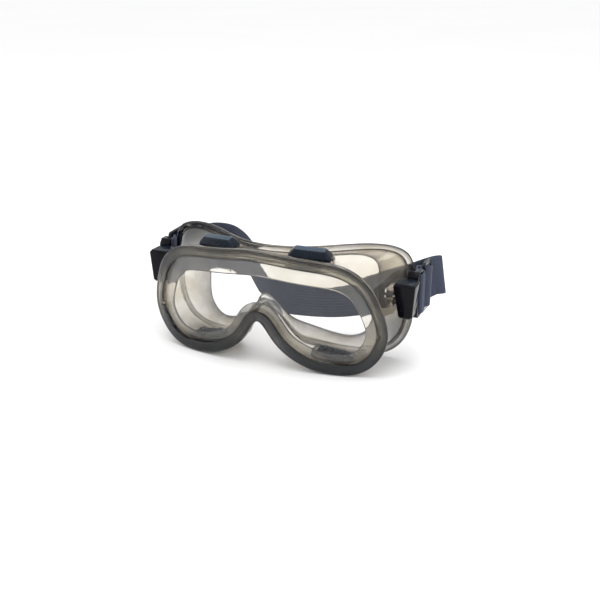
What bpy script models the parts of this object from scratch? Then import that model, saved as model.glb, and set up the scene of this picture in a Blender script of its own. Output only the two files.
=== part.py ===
"""Splash safety goggles: soft frame, clear lens, four capped vents, swivelling
strap clips, sliders and an elastic headband.

Axes: the lens faces -Y, the wearer's left is +X and +Z is up.
Lengths below are in millimetres; meshes are written in metres.
The origin is the middle of the bottom of the whole object's box.
"""
import bpy
import bmesh
import numpy as np
from math import cos, sin, pi, radians
from mathutils import Matrix, Vector

MM = 0.001
ORIGIN_SHIFT = (1.48, -50.96, -1.6)   # from the lens-based layout to the part's frame

# ---- front of the frame -------------------------------------------------------------
FACE_RADIUS = 236.0                 # the lens is bent to this cylinder
LEAN = 0.105                        # the top leans forward by this slope
LEAN_HEIGHT = 37.0                  # height at which the lean is zero
# Half outline of the rim, from the top middle round to the nose (arc length, height).
RIM_HALF = [(0, 78.15), (27.8, 76.1), (53.6, 72.7), (69.2, 62.2), (77.75, 45.2), (80.5, 25.4),
            (66.3, 5.0), (42.6, 1.8), (26.8, 6.1), (10, 19.3), (0, 31.8)]
LEDGE_HALF = [(0, 17.0), (0, 17.0), (0, 16.5), (0, 15.0), (0, 14.0), (0, 13.5),
              (0, 13.5), (0, 13.0), (0, 13.0), (0, 12.0), (0, 12.0)]
# Matching half outlines of the face flange (x, y, z).
FLANGE_OUTER_HALF = [(0, 17, 76.5), (28, 28.5, 75.6), (57, 46, 75.8), (78.6, 50, 71.2),
                     (83.6, 50.5, 52), (82.8, 50.5, 27), (70, 49, 6.0), (44, 43.5, 1.6),
                     (26, 33, 7.5), (14.5, 22, 19), (0, 14.5, 38)]
FLANGE_INNER_HALF = [(0, 20, 67), (26, 30, 66.5), (51, 47, 66), (58.5, 52, 59),
                     (58.5, 53, 47), (58.5, 52, 29), (54, 49.5, 18), (41, 43.5, 14.5),
                     (22, 33, 22.5), (9.5, 22, 33.5), (0, 14, 47)]
STATIONS_PER_SPAN = 5
LIP_WIDTH = 7.0                     # front lip over the lens edge
GROOVE_FRONT = 1.3
GROOVE_BACK = 3.9
GROOVE_INSET = 3.2
LEDGE_THICK = 1.5
RIM_DEPTH = 5.0
WALL = 2.2
WALL_INSET = 3.4
WALL_HOLLOW = 1.8                   # how far the wall curves in between rim and flange
FLANGE_THICK = 2.2
FLANGE_LIP = 3.6                    # flange beyond the wall, outwards
FLOOR_HEIGHT = 1.6                  # the lowest edges are flattened at this height

LENS_FRONT = 1.6
LENS_BACK = 3.6
LENS_INSET = 4.7

# ---- vents --------------------------------------------------------------------------
TOP_VENT = dict(centre=(30.2, 12.6, 73.0), yaw=8.3, roll=2.0, tilt=12.0, rise=1.0)
BOTTOM_VENT = dict(centre=(42.0, 22.5, 5.9), yaw=-4.0, roll=4.0, tilt=180.0, rise=0.52)
CAP_LENGTH = 26.0
CAP_WIDTH = 9.6
SEAT_LENGTH = 28.4
SEAT_WIDTH = 11.6
SEAT_THICK = 4.2
VENT_SLOT = (17.0, 5.0)
POST_RADIUS = 1.2
POST_SPACING = 12.0
BAFFLE = (21.0, 8.0, 1.2)

# ---- strap clips --------------------------------------------------------------------
PIVOT = (36.0, 48.5)                # y, z of the clip's swivel axis
LUG_FACE = 76.8
LUG_INNER = 71.6
LUG_RADIUS = 7.6
CLIP_INNER = 77.2
# The clip's front block, from its foot to its top: height, inner and outer face, front face.
CLIP_BLOCK = [(37.0, 81.5, 88.4, 28.6), (38.4, 80.8, 89.2, 27.6), (57.2, 77.2, 90.6, 26.8),
              (58.8, 77.9, 89.4, 28.0)]
CLIP_BLOCK_BACK = 41.0
CLIP_BAR_Y = (44.3, 47.3)
CLIP_BAR_X = (86.0, 89.2)
CLIP_FRAME_Y = 38.4
CLIP_HALF_HEIGHT = 14.7
PIN_RADIUS = 2.2
PIN_START = 68.6
SOCKET_END = 84.4
GAP = 0.3

# ---- strap and sliders --------------------------------------------------------------
STRAP_WIDTH = 25.4
STRAP_THICK = 1.2
STRAP_CENTRE = 48.5
SLIDER_Y = 55.0
SLIDER_BAR = 3.2
SLIDER_SLOT = 7.2
SLIDER_X = (88.0, 90.0)
SLIDER_HALF_HEIGHT = 15.8
SLIDER_HINGE = (86.0, 50.0, STRAP_CENTRE)
# How each slider hangs on the slack strap: sign of x, then degrees and millimetres.
SLIDER_PITCH = {1: -10.0, -1: 3.0}
SLIDER_YAW = {1: 7.0, -1: 1.0}     # positive turns the slider in behind the flange
SLIDER_SHIFT = {1: (-1.5, 1.0, 0.0), -1: (2.6, 0.4, -2.0)}

SIDES = {"left": 1, "right": -1}    # the wearer's left is +X


# ---- helpers ------------------------------------------------------------------------
def clear_scene():
    for obj in list(bpy.data.objects):
        bpy.data.objects.remove(obj, do_unlink=True)


def material(name, colour, roughness, metallic=0.0, alpha=1.0):
    made = bpy.data.materials.new(name)
    made.use_nodes = True
    made.diffuse_color = (*colour, 1.0)
    shader = made.node_tree.nodes["Principled BSDF"]
    shader.inputs["Base Color"].default_value = (*colour, 1.0)
    shader.inputs["Roughness"].default_value = roughness
    shader.inputs["Metallic"].default_value = metallic
    shader.inputs["Alpha"].default_value = alpha
    return made


def add_object(name, points, faces, look, origin=(0.0, 0.0, 0.0), sharp=40.0):
    """A mesh object from layout millimetres, with its origin at a layout point."""
    shift = Vector(ORIGIN_SHIFT)
    centre = Vector(origin)
    mesh = bpy.data.meshes.new(name)
    mesh.from_pydata([tuple((Vector(p) - centre) * MM) for p in points], [], faces)
    shell = bmesh.new()
    shell.from_mesh(mesh)
    bmesh.ops.recalc_face_normals(shell, faces=shell.faces)
    shell.to_mesh(mesh)
    shell.free()
    mesh.shade_smooth()
    mesh.set_sharp_from_angle(angle=radians(sharp))
    obj = bpy.data.objects.new(name, mesh)
    obj.location = (centre + shift) * MM
    bpy.context.scene.collection.objects.link(obj)
    if look:
        mesh.materials.append(look)
    return obj


def join(*shapes):
    """Several (points, faces) shapes as one."""
    points = []
    faces = []
    for shape_points, shape_faces in shapes:
        base = len(points)
        points += list(shape_points)
        faces += [tuple(i + base for i in face) for face in shape_faces]
    return points, faces


def moved(shape, matrix):
    return [tuple(matrix @ Vector(p)) for p in shape[0]], shape[1]


def sided(shape, side):
    """The shape itself for +X, or its mirror image for -X."""
    return [(p[0] * side, p[1], p[2]) for p in shape[0]], shape[1]


def boolean(obj, shape, operation):
    """Cut or add a hidden helper shape."""
    helper = add_object(f"{obj.name}_{operation.lower()}_{len(obj.modifiers)}", *shape, None)
    helper.hide_render = True
    helper.display_type = "WIRE"
    change = obj.modifiers.new(operation.lower(), "BOOLEAN")
    change.operation = operation
    change.solver = "EXACT"
    change.object = helper


def box(low, high):
    points = [(x, y, z) for z in (low[2], high[2]) for y in (low[1], high[1])
              for x in (low[0], high[0])]
    return points, [(0, 2, 3, 1), (4, 5, 7, 6), (0, 1, 5, 4), (2, 6, 7, 3),
                    (0, 4, 6, 2), (1, 3, 7, 5)]


def loft(rings, closed=False):
    """A skin over equal rings of points; open lofts are capped at both ends."""
    count = len(rings[0])
    points = [tuple(p) for ring in rings for p in ring]
    faces = []
    for i in range(len(rings) if closed else len(rings) - 1):
        a, b = i * count, (i + 1) % len(rings) * count
        faces += [(a + j, a + (j + 1) % count, b + (j + 1) % count, b + j)
                  for j in range(count)]
    if not closed:
        faces += [tuple(range(count))[::-1],
                  tuple(range((len(rings) - 1) * count, len(rings) * count))]
    return points, faces


def disc(radius, count=16):
    return [(radius * cos(2 * pi * i / count), radius * sin(2 * pi * i / count))
            for i in range(count)]


def turned_x(profile, count=16):
    """A solid turned about the swivel axis from (x, radius) pairs."""
    return loft([[(x, PIVOT[0] + u, PIVOT[1] + v) for u, v in disc(r, count)]
                 for x, r in profile])


def rounded(length, width, radius, per_corner=3):
    """A rectangle with round corners, as (u, v) points."""
    outline = []
    for quarter, (su, sv) in enumerate([(1, 1), (-1, 1), (-1, -1), (1, -1)]):
        for i in range(per_corner):
            angle = pi / 2 * (quarter + i / (per_corner - 1))
            outline.append((su * (length / 2 - radius) + radius * cos(angle),
                            sv * (width / 2 - radius) + radius * sin(angle)))
    return outline


def prism_x(outline, low, high):
    """A (y, z) outline given a thickness along X."""
    return loft([[(x, y, z) for y, z in outline] for x in (low, high)])


def prism_z(outline, low, high):
    """An (x, y) outline given a height along Z."""
    return loft([[(x, y, z) for x, y in outline] for z in (low, high)])


class SmoothCurve:
    """A cubic spline through points, closed or open, with given knots."""

    def __init__(self, points, knots, closed):
        self.points = np.array(points, float)
        self.knots = np.array(knots, float)
        self.closed = closed
        count = len(self.points)
        step = np.diff(self.knots)
        self.step = step
        system = np.zeros((count, count))
        right = np.zeros_like(self.points)
        for i in range(count):
            if not closed and i in (0, count - 1):
                system[i, i] = 1.0
                continue
            before = step[i - 1]
            after = step[i]
            nxt = (i + 1) % count
            system[i, i - 1] += before
            system[i, i] += 2.0 * (before + after)
            system[i, nxt] += after
            right[i] = 6.0 * ((self.points[nxt] - self.points[i]) / after
                              - (self.points[i] - self.points[i - 1]) / before)
        self.bend = np.linalg.solve(system, right)

    def at(self, t):
        i = int(np.clip(np.searchsorted(self.knots, t, side="right") - 1, 0, len(self.step) - 1))
        j = (i + 1) % len(self.points)
        h = self.step[i]
        a = (self.knots[i + 1] - t) / h
        b = 1.0 - a
        return (a * self.points[i] + b * self.points[j]
                + ((a ** 3 - a) * self.bend[i] + (b ** 3 - b) * self.bend[j]) * h * h / 6.0)


def spaced_knots(points, closed):
    """Knots spaced by the square root of the distance between points."""
    points = np.array(points, float)
    ahead = np.roll(points, -1, axis=0) if closed else points[1:]
    gaps = np.sqrt(np.linalg.norm(ahead - points[:len(ahead)], axis=1))
    return np.concatenate([[0.0], np.cumsum(gaps)])


def both_halves(half):
    """A full outline from its right half, whose first and last points are in the middle."""
    mirror = [(-p[0], *p[1:]) for p in half[-2:0:-1]]
    return list(half) + mirror


# ---- frame and lens -----------------------------------------------------------------
def on_face(s, z, depth):
    """A point on the bent front: arc length, height, and depth behind the front."""
    turn = s / FACE_RADIUS
    reach = FACE_RADIUS - depth
    return Vector((reach * sin(turn), FACE_RADIUS - reach * cos(turn) - LEAN * (z - LEAN_HEIGHT), z))


class FrameLayout:
    """The rim and flange outlines sampled at matching stations."""

    def __init__(self, per_span):
        rim = both_halves(RIM_HALF)
        knots = spaced_knots(rim, True)
        self.rim = SmoothCurve(rim, knots, True)
        self.ledge = SmoothCurve([(0, p[1]) for p in both_halves(LEDGE_HALF)], knots, True)
        self.outer = SmoothCurve(both_halves(FLANGE_OUTER_HALF), knots, True)
        self.inner = SmoothCurve(both_halves(FLANGE_INNER_HALF), knots, True)
        self.stations = np.concatenate([np.linspace(a, b, per_span, endpoint=False)
                                        for a, b in zip(knots[:-1], knots[1:])])
        self.period = knots[-1]

    def inward(self, t):
        """Unit vector from the rim outline towards the lens, in (arc length, height)."""
        step = 0.01
        slope = self.rim.at((t + step) % self.period) - self.rim.at((t - step) % self.period)
        slope /= np.linalg.norm(slope)
        return np.array([slope[1], -slope[0]])

    def front(self, t, inset, depth):
        s, z = self.rim.at(t) + self.inward(t) * inset
        return on_face(s, z, depth)

    def flange(self, t):
        """Flange outer point, unit vector across it towards the face opening, its width
        and its backward normal."""
        step = 0.01
        outer = Vector(self.outer.at(t))
        across = Vector(self.inner.at(t)) - outer
        along = Vector(self.outer.at((t + step) % self.period)
                       - self.outer.at((t - step) % self.period))
        normal = along.cross(across).normalized()
        if normal.y < 0:
            normal.negate()
        return outer, across.normalized(), across.length, normal


def frame_section(layout, t):
    """The closed wall section at one station, starting at the front lip's inner edge."""
    def front(inset, depth):
        return layout.front(t, inset, depth)

    ledge = layout.ledge.at(t)[1]
    outer, across, width, back = layout.flange(t)
    half = back * (FLANGE_THICK / 2)
    wall_outer_start = front(WALL_INSET, RIM_DEPTH + 0.4)
    wall_inner_start = front(WALL_INSET + WALL, RIM_DEPTH + 0.8)
    wall_outer_end = outer + across * FLANGE_LIP - half
    wall_inner_end = outer + across * (FLANGE_LIP + WALL) - half
    hollow = (front(10.0, RIM_DEPTH) - front(0.0, RIM_DEPTH)).normalized() * WALL_HOLLOW

    def wall(start, end, part):
        return start.lerp(end, part) + hollow * sin(pi * part)

    return [
        front(LIP_WIDTH, GROOVE_FRONT), front(LIP_WIDTH, 0.5), front(LIP_WIDTH - 0.7, 0.0),
        front(1.2, 0.0), front(0.35, 0.35), front(0.0, 1.2), front(0.0, RIM_DEPTH - 0.8),
        front(0.9, RIM_DEPTH), wall_outer_start,
        wall(wall_outer_start, wall_outer_end, 0.33), wall(wall_outer_start, wall_outer_end, 0.67),
        wall_outer_end, outer + across * 0.6 - half, outer, outer + across * 0.6 + half,
        outer + across * (width - 0.6) + half, outer + across * width,
        outer + across * (width - 0.6) - half, wall_inner_end,
        wall(wall_inner_start, wall_inner_end, 0.67), wall(wall_inner_start, wall_inner_end, 0.33),
        wall_inner_start, front(ledge, GROOVE_BACK + LEDGE_THICK), front(ledge, GROOVE_BACK),
        front(GROOVE_INSET, GROOVE_BACK), front(GROOVE_INSET, GROOVE_FRONT)]


def vent_matrix(vent):
    """Vent axes: u along the cap, v across it towards the back, w out of the frame."""
    return (Matrix.Translation(vent["centre"])
            @ Matrix.Rotation(radians(vent["yaw"]), 4, "Z")
            @ Matrix.Rotation(radians(vent["roll"]), 4, "Y")
            @ Matrix.Rotation(radians(vent["tilt"]), 4, "X"))


def plate(outline, low, high):
    return loft([[(u, v, w) for u, v in outline] for w in (low, high)])


def frame_additions():
    """Flat seats for the vents and lugs for the strap clips."""
    shapes = []
    for side in SIDES.values():
        for vent in (TOP_VENT, BOTTOM_VENT):
            seat = plate(rounded(SEAT_LENGTH, SEAT_WIDTH, 2.4), -SEAT_THICK, 0.0)
            shapes.append(sided(moved(seat, vent_matrix(vent)), side))
        lug = turned_x([(LUG_INNER, LUG_RADIUS), (LUG_FACE - 0.6, LUG_RADIUS),
                        (LUG_FACE, LUG_RADIUS - 0.6)], 24)
        shapes.append(sided(lug, side))
    return join(*shapes)


def frame_cuts():
    """Vent slots, pin holes, lens locating slots and the flattened feet."""
    shapes = [box((-120, -30, -20), (120, 130, FLOOR_HEIGHT))]
    for side in SIDES.values():
        for vent in (TOP_VENT, BOTTOM_VENT):
            slot = plate(rounded(*VENT_SLOT, 1.5), -SEAT_THICK - 4, 3.0)
            shapes.append(sided(moved(slot, vent_matrix(vent)), side))
        hole = turned_x([(LUG_INNER - 4, PIN_RADIUS + GAP), (LUG_FACE + 2, PIN_RADIUS + GAP)])
        shapes.append(sided(hole, side))
        tick = on_face(75.6, 29.0, 0.0)
        low = (tick.x - 3.0, tick.y - 3.0, tick.z - 1.1)
        high = (tick.x + 1.2, tick.y + 2.2, tick.z + 1.1)
        shapes.append(sided(box(low, high), side))
    return join(*shapes)


def frame_clearances():
    """Flat room inside the frame for the vent baffles and the pin washers."""
    shapes = []
    for side in SIDES.values():
        for vent in (TOP_VENT, BOTTOM_VENT):
            room = plate(rounded(BAFFLE[0] + 2, BAFFLE[1] + 1.4, 1.8), -SEAT_THICK - 3.4,
                         -SEAT_THICK)
            shapes.append(sided(moved(room, vent_matrix(vent)), side))
        pocket = turned_x([(LUG_INNER - 6, 7.2), (LUG_INNER, 7.2)], 24)
        shapes.append(sided(pocket, side))
    return join(*shapes)


def make_frame(look):
    layout = FrameLayout(STATIONS_PER_SPAN)
    shape = loft([frame_section(layout, t) for t in layout.stations], closed=True)
    frame = add_object("frame_body", *shape, look)
    boolean(frame, frame_additions(), "UNION")
    boolean(frame, frame_cuts(), "DIFFERENCE")
    boolean(frame, frame_clearances(), "DIFFERENCE")


def make_lens(look):
    """A bent sheet: rings of points from the edge in towards the middle."""
    layout = FrameLayout(STATIONS_PER_SPAN)
    stations = layout.stations[::2]
    middle = np.array([0.0, 52.0])
    rings = []
    for inset in (LENS_INSET, 10.0, 18.5):
        rings.append([layout.rim.at(t) + layout.inward(t) * inset for t in stations])
    for share in (0.62, 0.3):
        rings.append([middle + (p - middle) * share for p in rings[2]])
    back = [[on_face(*p, LENS_BACK) for p in ring] for ring in rings[::-1]]
    front = [[on_face(*p, LENS_FRONT) for p in ring] for ring in rings]
    points, faces = loft(back + front)
    count = len(stations)
    faces = faces[:-2]
    for start, depth in ((0, LENS_BACK), (len(points) - count, LENS_FRONT)):
        hub = len(points)
        points = points + [tuple(on_face(*middle, depth))]
        faces += [(start + i, start + (i + 1) % count, hub) for i in range(count)]
    add_object("lens", points, faces, look)


# ---- vents --------------------------------------------------------------------------
def vent_cap_shape(rise):
    """A hollow cap open below: its inside surface, its foot and its outside surface."""
    steps = [(18.4, 4.2, 4.8 * rise, 0.8), (23.4, 7.0, 2.3 * rise, 1.4), (23.4, 7.0, GAP, 1.4),
             (CAP_LENGTH, CAP_WIDTH, GAP, 2.2), (CAP_LENGTH, CAP_WIDTH, 2.4 * rise, 2.2),
             (25.0, 8.6, 3.1 * rise, 1.9), (20.4, 6.2, 5.7 * rise, 1.4),
             (18.9, 4.9, 6.4 * rise, 1.0)]
    return loft([[(u, v, height) for u, v in rounded(length, width, radius)]
                 for length, width, height, radius in steps])


def vent_posts(rise):
    """Two snap posts that run from the cap's roof through the baffle."""
    below = -SEAT_THICK - BAFFLE[2] - 3 * GAP
    profile = [(5.4 * rise, POST_RADIUS), (below, POST_RADIUS), (below - 0.1, POST_RADIUS + 0.8),
               (below - 1.4, POST_RADIUS - 0.2)]
    posts = []
    for u in (-POST_SPACING / 2, POST_SPACING / 2):
        posts.append(loft([[(u + a, b, w) for a, b in disc(r, 12)] for w, r in profile]))
    return join(*posts)


def cap_windows(rise):
    """Air slits along the rear foot of the cap."""
    slits = []
    for i in range(5):
        u = (i - 2) * 4.2
        slits.append(box((u - 1.1, 2.0, -0.5), (u + 1.1, CAP_WIDTH, 1.5 * rise)))
    return join(*slits)


def make_vent(name, vent, side, cap_look, baffle_look):
    place = vent_matrix(vent)
    rise = vent["rise"]

    def here(shape):
        return sided(moved(shape, place), side)

    cap = add_object(f"vent_cap_{name}", *here(vent_cap_shape(rise)), cap_look)
    boolean(cap, here(vent_posts(rise)), "UNION")
    boolean(cap, here(cap_windows(rise)), "DIFFERENCE")
    length, width, thick = BAFFLE
    top = -SEAT_THICK - GAP
    baffle = plate(rounded(length, width, 1.5), top - thick, top)
    holes = [loft([[(u + a, b, w) for a, b in disc(POST_RADIUS + GAP, 12)]
                   for w in (top - 3, top + 3)]) for u in (-POST_SPACING / 2, POST_SPACING / 2)]
    plug = add_object(f"vent_baffle_{name}", *here(baffle), baffle_look)
    boolean(plug, here(join(*holes)), "DIFFERENCE")


# ---- strap clips --------------------------------------------------------------------
def clip_block():
    """The tapered front block of the clip, widest at its top ridge."""
    rings = []
    back = CLIP_BLOCK_BACK
    for z, inner, outer, front in CLIP_BLOCK:
        rings.append([(inner, front, z), (outer - 0.8, front, z), (outer, front + 0.8, z),
                      (outer - 0.6, back, z), (max(inner, 80.6), back, z), (inner, back - 4, z)])
    return loft(rings)


def clip_frame():
    """The upright frame behind the block that holds the strap bar."""
    low = STRAP_CENTRE - CLIP_HALF_HEIGHT
    high = STRAP_CENTRE + CLIP_HALF_HEIGHT
    front = CLIP_FRAME_Y
    back = CLIP_BAR_Y[1]
    outline = [(front, low + 3.0), (front + 2.4, low), (back - 0.8, low), (back, low + 0.8),
               (back, high - 0.8), (back - 0.8, high), (front + 2.4, high), (front, high - 3.0)]
    return prism_x(outline, CLIP_INNER + 5.0, CLIP_BAR_X[1])


def clip_cuts():
    """The strap slot, the relief over the flange edge and the pin socket."""
    low = STRAP_CENTRE - CLIP_HALF_HEIGHT
    high = STRAP_CENTRE + CLIP_HALF_HEIGHT
    strap_half = STRAP_WIDTH / 2 + 0.4
    slot = box((CLIP_INNER - 5, CLIP_BLOCK_BACK, STRAP_CENTRE - strap_half),
               (CLIP_BAR_X[1] + 5, CLIP_BAR_Y[0], STRAP_CENTRE + strap_half))
    relief = box((CLIP_INNER - 5, CLIP_BLOCK_BACK + 0.6, low - 5),
                 (CLIP_BAR_X[0], CLIP_BAR_Y[1] + 5, high + 5))
    socket = turned_x([(CLIP_INNER - 3, PIN_RADIUS + GAP), (SOCKET_END, PIN_RADIUS + GAP)])
    return slot, relief, socket


def make_clip(name, side, looks):
    axis_point = (side * CLIP_INNER, *PIVOT)
    clip = add_object(f"strap_clip_{name}", *sided(clip_block(), side), looks["clip"], axis_point)
    boolean(clip, sided(clip_frame(), side), "UNION")
    for cut in clip_cuts():
        boolean(clip, sided(cut, side), "DIFFERENCE")
    edges = clip.modifiers.new("edges", "BEVEL")
    edges.width = 0.5 * MM
    edges.segments = 1
    edges.limit_method = "ANGLE"
    edges.angle_limit = radians(25)
    pin = [(PIN_START, 3.4), (PIN_START + 0.4, 4.2), (PIN_START + 1.6, 4.2),
           (PIN_START + 1.61, PIN_RADIUS), (SOCKET_END - 0.8, PIN_RADIUS),
           (SOCKET_END - GAP, PIN_RADIUS - 0.5)]
    add_object(f"pivot_pin_{name}", *sided(turned_x(pin), side), looks["pin"], axis_point)
    disc_faces = [(PIN_START + 1.9, 6.4), (LUG_INNER - GAP, 6.4)]
    ring = add_object(f"pin_washer_{name}", *sided(turned_x(disc_faces, 20), side),
                      looks["washer"])
    bore = turned_x([(LUG_INNER - 9, PIN_RADIUS + GAP), (LUG_FACE, PIN_RADIUS + GAP)], 20)
    boolean(ring, sided(bore, side), "DIFFERENCE")


# ---- strap --------------------------------------------------------------------------
def slider_matrix(side):
    """Turns and shifts the slider group from straight behind the clip to where it lies."""
    hinge = Vector(SLIDER_HINGE)
    return (Matrix.Translation(Vector(SLIDER_SHIFT[side]) + hinge)
            @ Matrix.Rotation(radians(SLIDER_YAW[side]), 4, "Z")
            @ Matrix.Rotation(radians(SLIDER_PITCH[side]), 4, "X")
            @ Matrix.Translation(-hinge))


def band_section(path, lean, t):
    """The strap's section at t; the last value of lean is how square it stands to the path."""
    here = Vector(path.at(t))
    low = max(t - 0.01, path.knots[0])
    high = min(t + 0.01, path.knots[-1])
    ahead = Vector(path.at(high) - path.at(low))
    *given, square = lean.at(t)
    up = Vector(given).normalized()
    side = ahead.cross(up).normalized()
    up = up.lerp(side.cross(ahead).normalized(), min(max(square, 0.0), 1.0)).normalized()
    return [here + side * (STRAP_THICK / 2 * a) + up * (STRAP_WIDTH / 2 * b)
            for a, b in ((1, 1), (-1, 1), (-1, -1), (1, -1))]


def band_through_slider():
    """Centre line (x, y) of the outer layer inside the slider, before the slider is turned."""
    under = SLIDER_X[0] - GAP - STRAP_THICK / 2
    middle = SLIDER_Y + SLIDER_BAR * 1.5 + SLIDER_SLOT
    rise = [(-8.4, 0.0), (-6.0, 0.9), (-4.3, 2.8), (-2.8, 4.5), (0.0, 5.0)]
    rise += [(-y, x) for y, x in rise[-2::-1]]
    ahead = [(under - 0.2, SLIDER_Y + 0.2)]
    behind = [(under, SLIDER_Y + 24.6), (under, SLIDER_Y + 32.0)]
    return ahead + [(under + x, middle + y) for y, x in rise] + behind


def strap_out(side, beyond, beyond_ups):
    """The strap from the clip bar through the slider and on through the given points."""
    place = slider_matrix(side)
    inside = [tuple(place @ Vector((x, y, STRAP_CENTRE))) for x, y in band_through_slider()]
    start = CLIP_BAR_X[1] + GAP + STRAP_THICK / 2
    step = max(start - 1.9, (start + inside[0][0]) / 2)
    route = [(start, CLIP_BAR_Y[1] + 0.25, STRAP_CENTRE), (start, CLIP_BAR_Y[1] + 0.9, STRAP_CENTRE),
             (start + (step - start) * 0.37, CLIP_BAR_Y[1] + 2.8, STRAP_CENTRE),
             (step, CLIP_BAR_Y[1] + 4.6, STRAP_CENTRE)]
    ups = [(0, 0, 1)] * len(route) + [tuple(place.to_3x3() @ Vector((0, 0, 1)))] * len(inside)
    route = [(x * side, y, z) for x, y, z in route + inside] + list(beyond)
    ups = [(x * side, y, z, 0) for x, y, z in ups] + [(*up, 1) for up in beyond_ups]
    return route, ups


def make_clip_loop(name, side, look):
    """The strap's turn round the clip bar and its inner layer back to the slider."""
    outer = CLIP_BAR_X[1] + GAP + STRAP_THICK / 2
    inner = CLIP_BAR_X[0] - GAP - STRAP_THICK / 2
    front = CLIP_BAR_Y[0] - GAP - STRAP_THICK / 2
    radius = GAP + STRAP_THICK / 2
    corner = radius * 0.293
    spread = SLIDER_SHIFT[side][0] * 0.35
    turn = [(outer, CLIP_BAR_Y[1] - 0.1), (outer, CLIP_BAR_Y[0] + 1.2), (outer, CLIP_BAR_Y[0]),
            (outer - corner, front + corner), (outer - radius, front), (inner + radius, front),
            (inner + corner, front + corner), (inner, CLIP_BAR_Y[0]), (inner, CLIP_BAR_Y[0] + 1.2),
            (inner + spread, SLIDER_Y - 3.0)]
    place = slider_matrix(side)
    end = [place @ Vector((84.65, SLIDER_Y + 1.4, STRAP_CENTRE)),
           place @ Vector((83.95, SLIDER_Y + 4.0, STRAP_CENTRE))]
    route = [(x, y, STRAP_CENTRE) for x, y in turn] + [tuple(p) for p in end]
    up = place.to_3x3() @ Vector((0, 0, 1))
    knots = spaced_knots(route, False)
    path = SmoothCurve(route, knots, False)
    lean = SmoothCurve([(0, 0, 1, 0)] * len(turn) + [(*up, 0)] * len(end), knots, False)
    rings = [band_section(path, lean, t) for t in np.linspace(0, knots[-1], 52)]
    add_object(f"strap_loop_{name}", *sided(loft(rings), side), look)


def stadium(centre_x, low_y, high_y, radius, count=8):
    outline = []
    for i in range(count + 1):
        angle = pi * i / count
        outline.append((centre_x + radius * cos(angle), high_y + radius * sin(angle)))
    for i in range(count + 1):
        angle = pi + pi * i / count
        outline.append((centre_x + radius * cos(angle), low_y + radius * sin(angle)))
    return outline


def make_slider(name, side, looks):
    """The tri-glide slider and the strap end sewn round its middle bar."""
    place = slider_matrix(side)
    length = SLIDER_BAR * 3 + SLIDER_SLOT * 2
    x0, x1 = SLIDER_X
    mid_y = SLIDER_Y + length / 2
    centre = place @ Vector(((x0 + x1) / 2, mid_y, STRAP_CENTRE))
    centre.x *= side

    def here(shape):
        return sided(moved(shape, place), side)

    outline = [(mid_y + u, STRAP_CENTRE + v)
               for u, v in rounded(length, SLIDER_HALF_HEIGHT * 2, 2.5, 4)]
    slider = add_object(f"strap_slider_{name}", *here(prism_x(outline, x0, x1)), looks["slider"],
                        centre)
    half = STRAP_WIDTH / 2 + 0.6
    cuts = []
    for start in (SLIDER_Y + SLIDER_BAR, SLIDER_Y + SLIDER_BAR * 2 + SLIDER_SLOT):
        cuts.append(box((x0 - 2, start, STRAP_CENTRE - half),
                        (x1 + 2, start + SLIDER_SLOT, STRAP_CENTRE + half)))
    boolean(slider, here(join(*cuts)), "DIFFERENCE")
    thin = [box((x0 - 2, mid_y - 3, STRAP_CENTRE - half), (x0 + 0.4, mid_y + 3, STRAP_CENTRE + half)),
            box((x1 - 0.4, mid_y - 3, STRAP_CENTRE - half), (x1 + 2, mid_y + 3, STRAP_CENTRE + half))]
    boolean(slider, here(join(*thin)), "DIFFERENCE")

    low = STRAP_CENTRE - STRAP_WIDTH / 2
    high = STRAP_CENTRE + STRAP_WIDTH / 2
    axis_x = (x0 + x1) / 2
    ring = prism_z(stadium(axis_x, mid_y - 1.3, mid_y + 1.3, 2.1), low, high)
    hem = add_object(f"strap_hem_{name}", *here(ring), looks["strap"], centre)
    tail = [(x, SLIDER_Y + y) for x, y in
            [(83.35, 4.3), (85.9, 4.3), (85.9, 7.2), (88.3, 9.6), (88.2, 12.6), (87.0, 12.9),
             (83.35, 7.6)]]
    boolean(hem, here(prism_z(tail, low, high)), "UNION")
    boolean(hem, here(prism_z(stadium(axis_x, mid_y - 1.3, mid_y + 1.3, 0.9), low - 3, high + 3)),
            "DIFFERENCE")


# Where the strap folds back beyond each slider: points and width directions.
LEFT_FOLD = [(83.6, 90.5, 44.0), (87.4, 93.6, 44.4)]
LEFT_FOLD_UPS = [(-0.10, 0, 1), (-0.16, 0, 1)]
LEFT_BACK = [(89.2, 95.6, 44.4), (88.6, 97.6, 44.2), (84.5, 97.6, 43.4), (70.0, 86.5, 39.5),
             (50.0, 73.5, 33.0)]
LEFT_BACK_UPS = [(-0.17, 0, 1), (-0.17, 0, 1), (-0.14, 0, 1), (0, 0, 1), (0, 0, 1)]
RIGHT_FOLD = [(-89.8, 93.0, 44.8), (-85.5, 101.5, 45.2), (-77.0, 105.5, 45.3)]
RIGHT_BACK = [(-68.5, 103.5, 45.3), (-58.5, 96.5, 45.0), (-45.0, 84.0, 43.0)]
MIDDLE = [(30.0, 66.5, 29.0), (15.0, 63.5, 27.8), (-2.0, 61.6, 27.4), (-16.0, 63.0, 28.4),
          (-30.0, 71.5, 34.5)]


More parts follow.
